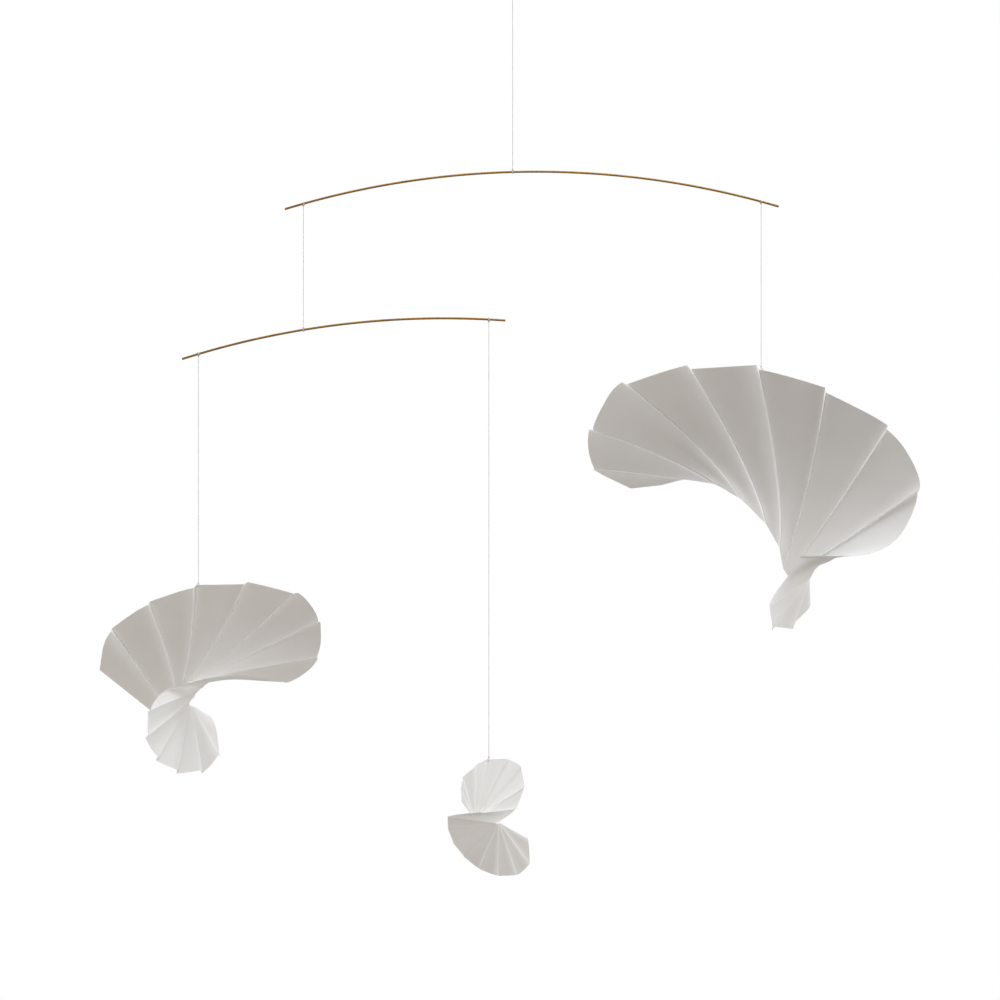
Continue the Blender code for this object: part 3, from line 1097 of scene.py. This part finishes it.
    def build(self, shop: Workshop, cordage: Cordage, knot: Vector) -> None:
        """Fold the strip and tie it to its knot.

        Args:
            shop: the shared finishes and recipes.
            cordage: sizes of the thread.
            knot: centre of the knot that the strip hangs from.
        """
        rim, along, front = self.hang_frame()
        shift = -(rim + along * cordage.paper_loop / 2)
        name = self.name + "_spiral_folded"
        piece = add_piece(name, self.sheet_mesh(knot, shift))
        values = {
            "Pleat Depth": self.shown_depth, "Return Share": self.shown_return, "Lean": self.lean,
            "Paper": self.paper, "Seed": float(self.hang_ridge),
        }
        shop.folded.apply(piece, shop.paper, values)
        body = self.name + "_ornament"
        join_frame(piece, body, self.name + "_spiral")
        log.info("paper %s, %d faces", name, len(piece.data.polygons))
        t = np.linspace(0, math.tau, cordage.loop_points)
        centre = np.array(knot) + shift + rim
        circle = np.outer(np.cos(t), along) + np.outer(np.sin(t), front)
        loop = centre + cordage.paper_loop / 2 * circle
        cordage.spin(shop, self.name + "_loop", body, Lay.TIED, [loop, cordage.knot_path(knot)])


LARGE = Spiral(
    name="large",
    paper=0.399 * MM,
    hang_ridge=5,
    bow=0.09,
    rim_step=0.03,
    rim_lip=0.03,
    tail_lip=-0.12,
    tail_depth=1.8,
    crossing_end=9,
    flared=(5.0, 10.5),
    panel_flare=3.2,
    outer=(
        (0, -118, 62, -109), (1, -151, 76, -91), (1.5, -155, 74, -73), (2, -153, 70, -55),
        (2.5, -141, 59, -33), (3, -122, 46, -13.5), (4, -64, 20, 0.5), (5, -2.5, 0, 0), (6, 58, -24, -21),
        (7, 113, -48, -55), (7.5, 131, -54, -80), (8, 140, -60, -112), (8.5, 114, -76, -157),
        (9, 66, -84, -171), (10, 44, -36, -187), (14, 42, -28, -190),
    ),
    inner=(
        (0, -90, 48, -106), (1, -69, 37, -101), (2, -42, 24, -105), (3, -19, 11.5, -118), (4, 4, 0, -141),
        (5, 16, -9, -162), (6, 19, -15, -180), (7, 23, -20, -187), (8, 28, -24, -187),
        (9, 34, -57, -170), (10, 6, -63, -214), (11, 9, -54, -235), (12, 28, -34, -232),
        (13, 43, -24, -211), (14, 41, -24, -197),
    ),
)
MEDIUM = Spiral(
    name="medium",
    paper=0.386 * MM,
    hang_ridge=3,
    bow=0.07,
    rim_step=-0.03,
    rim_lip=-0.02,
    tail_lip=0.07,
    tail_depth=1.8,
    crossing_end=10,
    flared=(3.0, 12.5),
    panel_flare=2.8,
    lean=0.15,
    arch=6.0 * MM,
    outer=(
        (0, -89, 44, -76), (0.5, -86, 43, -57), (1, -78, 40, -39), (2, -44, 20, -15), (3, -2, 0, 0),
        (4, 44, -20, 3), (5, 89, -38, -6), (5.5, 102, -43, -17), (6, 110, -46, -32), (6.5, 111, -45, -48),
        (7, 108, -42, -64), (7.5, 98, -35, -77), (8, 79, -26, -86), (9, 21, -4, -84),
        (10, 4, -2, -91), (12, -8, 3, -106), (16, -3, 12, -109),
    ),
    inner=(
        (0, -43, 24, -112), (1, -33, 18, -103), (2, -20, 8, -93), (3, -14.5, 3, -89), (5, -8.5, -8.5, -86),
        (7, -4, -15.5, -84), (8, -3.5, -17, -85.5), (9, -29, -9.5, -93.5), (10, -43, -22, -112),
        (11, -45, -24, -135), (12, -36, -18, -155), (13, -18, -8, -167), (14, 4, 4, -167),
        (15, 19, 13, -151), (15.5, 16, 18, -133), (16, 10, 22, -117),
    ),
)
SMALL = Spiral(
    name="small",
    paper=0.507 * MM,
    hang_ridge=4,
    bow=0.0,
    rim_step=0.0,
    shown_depth=0.09,
    tail_lip=0.04,
    tail_depth=0.8,
    crossing_end=10,
    flared=(5.5, 13.0),
    outer=(
        (0, -25, -16, -38), (1, -26, -15, -27), (2, -24, -12, -16), (3, -12, -6, -5), (4, -2.5, 0, 0),
        (5, 16, 5, 0), (6, 28, 8, -7), (7, 31, 6, -25), (8, 23, 0, -45), (9, 5.5, -7.5, -57.5),
        (11, 5.5, -7, -58), (13, 7, -6, -57.8), (15, 8.5, -5, -57.6), (17, 9, -4, -57.5),
    ),
    inner=(
        (0, -16, -12, -50.5), (2, -15, -11, -50.5), (4, -11.5, -10.5, -50), (6, -7.5, -12, -49.5),
        (8, -6, -14.5, -48), (9, -38, -11, -51.5), (10, -38, -4, -61), (11, -33, 0, -75), (12, -23, 4, -88),
        (13, -9, 6, -99), (14, 8, 8, -105), (15, 25, 10, -104), (16, 36, 10, -93), (17, 34, 6, -71),
    ),
)


@dataclass(frozen=True)
class Mobile:
    """The whole hanging mobile, built from its ring downwards."""

    ceiling_drop: float = 169.0 * MM
    link_drop: float = 113.5 * MM
    large_drop: float = 148.5 * MM
    medium_drop: float = 206.5 * MM
    small_drop: float = 394.0 * MM
    cordage: Cordage = Cordage()
    ring: HangingRing = HangingRing()

    def upper_rod(self) -> Rod:
        """The long rod at the top."""
        return Rod(
            "upper_rod", "upper_arm", length=451 * MM, hang_offset=-17 * MM, tilt_deg=0.3,
            left_inset=17.5 * MM, right_inset=16.5 * MM, hang=(0, 0, -self.ceiling_drop),
        )

    def lower_rod(self, upper: Rod) -> Rod:
        """The short rod that hangs from the left of the long one."""
        hang = upper.point(upper.left) - Vector((0, 0, self.link_drop))
        return Rod(
            "lower_rod", "lower_arm", length=295 * MM, hang_offset=-35 * MM, tilt_deg=6.8,
            left_inset=15.5 * MM, right_inset=15 * MM, hang=tuple(hang),
        )

    def tie(self, shop: Workshop, node: str, body: str, rod: Rod, along: float, side: Side) -> Vector:
        """Tie a thread round a rod.

        Args:
            shop: the shared finishes and recipes.
            node: the CAD loop that it stands for.
            body: the body that it rides on.
            rod: the rod.
            along: distance along the rod from its middle.
            side: where the knot sits.

        Returns:
            Centre of the knot.
        """
        place = rod.point(along)
        return self.cordage.tie_round(shop, node, body, place, rod.tangent(along), rod.diameter, side)

    def build(self, shop: Workshop) -> None:
        """Make every piece and tie each to what carries it.

        Args:
            shop: the shared finishes and recipes.
        """
        low = self.ring.build(shop)
        upper = self.upper_rod()
        lower = self.lower_rod(upper)
        upper.build(shop)
        lower.build(shop)
        level = Vector((1, 0, 0))
        top = self.cordage.tie_round(shop, "ring_loop", "ring", low, level, self.ring.wire, Side.BELOW)
        knot = self.tie(shop, "upper_rod_centre_loop", "ceiling_line", upper, upper.hang_offset, Side.ABOVE)
        self.cordage.line(shop, "ceiling_thread", "ceiling_line", top, knot)
        top = self.tie(shop, "upper_rod_left_loop", "link_line", upper, upper.left, Side.BELOW)
        knot = self.tie(shop, "lower_rod_centre_loop", "lower_hub", lower, lower.hang_offset, Side.ABOVE)
        self.cordage.line(shop, "link_thread", "link_line", top, knot)
        hangs = (
            (LARGE, upper, upper.right, "upper_rod_right_loop", self.large_drop),
            (MEDIUM, lower, lower.left, "lower_rod_left_loop", self.medium_drop),
            (SMALL, lower, lower.right, "lower_rod_right_loop", self.small_drop),
        )
        for spiral, rod, along, loop, drop in hangs:
            body = spiral.name + "_line"
            top = self.tie(shop, loop, body, rod, along, Side.BELOW)
            knot = rod.point(along) - Vector((0, 0, drop))
            spiral.build(shop, self.cordage, knot)
            self.cordage.line(shop, spiral.name + "_thread", body, top, knot)


@dataclass(frozen=True)
class Lamp:
    """A soft square lamp, with its power in watts and the hex colour of its light."""

    name: str
    place: tuple[float, float, float]
    power: float
    colour: str
    side: float = 1.6
    aim: tuple[float, float, float] = (0.0, 0.0, -0.5)

    def build(self) -> None:
        """Set up the lamp so that it faces its aim."""
        data = bpy.data.lights.new(self.name, "AREA")
        data.size = self.side
        data.energy = self.power
        data.color = hex_linear(self.colour)[:3]
        lamp = bpy.data.objects.new(self.name, data)
        lamp.location = self.place
        lamp.rotation_euler = (Vector(self.aim) - Vector(self.place)).to_track_quat("-Z", "Y").to_euler()
        bpy.context.scene.collection.objects.link(lamp)


@dataclass(frozen=True)
class Studio:
    """A white studio: pale floor, soft lamps and a level camera far away with a long lens."""

    view_width: float = 0.9
    view_centre: tuple[float, float] = (-0.01143, -0.4642)
    camera_distance: float = 16.0
    camera_reach: float = 50.0
    sensor_mm: float = 36.0
    floor_height: float = -1.9
    floor_side: float = 2.4
    floor_paint: str = "D3D1CD"
    floor_roughness: float = 0.9
    back_fill: float = 0.9
    fill_colour: str = "FDFDFD"
    lamps: tuple[Lamp, ...] = (
        Lamp("right", (2.6, -1.2, -0.3), 49.0, "FFFCFA"),
        Lamp("right_top", (2.0, -0.9, 1.6), 30.0, "E6F6FF"),
        Lamp("top", (0.2, -0.3, 2.3), 52.0, "FFFDFE"),
        Lamp("left_near", (-1.3, -1.5, -0.6), 17.0, "FFFEFC"),
        Lamp("left_low", (-1.9, -1.6, -1.6), 4.0, "FFB070"),
    )

    def camera(self) -> None:
        """Set a level camera that frames the view's width at the plane of the rods."""
        data = bpy.data.cameras.new("front_camera")
        data.sensor_width = self.sensor_mm
        data.lens = self.sensor_mm * self.camera_distance / self.view_width
        data.clip_end = self.camera_reach
        camera = bpy.data.objects.new("front_camera", data)
        camera.location = (self.view_centre[0], -self.camera_distance, self.view_centre[1])
        camera.rotation_euler = (math.pi / 2, 0, 0)
        bpy.context.scene.collection.objects.link(camera)
        bpy.context.scene.camera = camera

    def world(self) -> None:
        """Light the back of the scene softly, with plain white wherever the world is seen."""
        made = bpy.data.worlds.new("white_studio")
        bpy.context.scene.world = made
        made.use_nodes = True
        tree = made.node_tree
        tree.nodes.clear()
        ray = add_node(tree, "ShaderNodeLightPath").outputs
        seen = add_node(tree, MATH, (ray["Is Camera Ray"], ray["Is Glossy Ray"]), operation="MAXIMUM")
        shown = add_node(tree, MATH, (seen, ray["Is Transmission Ray"]), operation="MAXIMUM")
        # The lamps stand in front, so the room behind is bright enough to show the back
        way = add_node(tree, "ShaderNodeTexCoord").outputs["Generated"]
        behind = add_node(tree, "ShaderNodeSeparateXYZ", (way,)).outputs["Y"]
        level = add_node(tree, "ShaderNodeMapRange", {"Value": behind, "To Max": self.back_fill})
        fill = {"Color": hex_linear(self.fill_colour), "Strength": level.outputs["Result"]}
        soft = add_node(tree, "ShaderNodeBackground", fill)
        white = add_node(tree, "ShaderNodeBackground", {"Color": (1, 1, 1, 1), "Strength": 1.0})
        mixed = add_node(tree, "ShaderNodeMixShader", (shown, soft, white))
        add_node(tree, "ShaderNodeOutputWorld", {"Surface": mixed})

    def floor(self) -> None:
        """Lay a pale matt floor well below the mobile."""
        half = self.floor_side / 2
        corners = ((-half, -half), (half, -half), (half, half), (-half, half))
        mesh = bpy.data.meshes.new("studio_floor")
        mesh.from_pydata([(x, y, self.floor_height) for x, y in corners], [], [(0, 1, 2, 3)])
        floor = add_piece("studio_floor", mesh)
        made, _, shader = new_material("pale_floor_paint")
        shader.inputs["Base Color"].default_value = hex_linear(self.floor_paint)
        shader.inputs["Roughness"].default_value = self.floor_roughness
        mesh.materials.append(made)

    def build(self) -> None:
        """Set up camera, world, floor and lamps."""
        bpy.context.scene.view_settings.view_transform = "Standard"
        self.camera()
        self.world()
        self.floor()
        for lamp in self.lamps:
            lamp.build()
        log.info("studio with %d lamps", len(self.lamps))


def main() -> None:
    """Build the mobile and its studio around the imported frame."""
    logging.basicConfig(level=logging.INFO, format="%(message)s")
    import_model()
    Studio().build()
    Mobile().build(Workshop.open())
    log.info("sizes written")


if __name__ == "__main__":
    main()
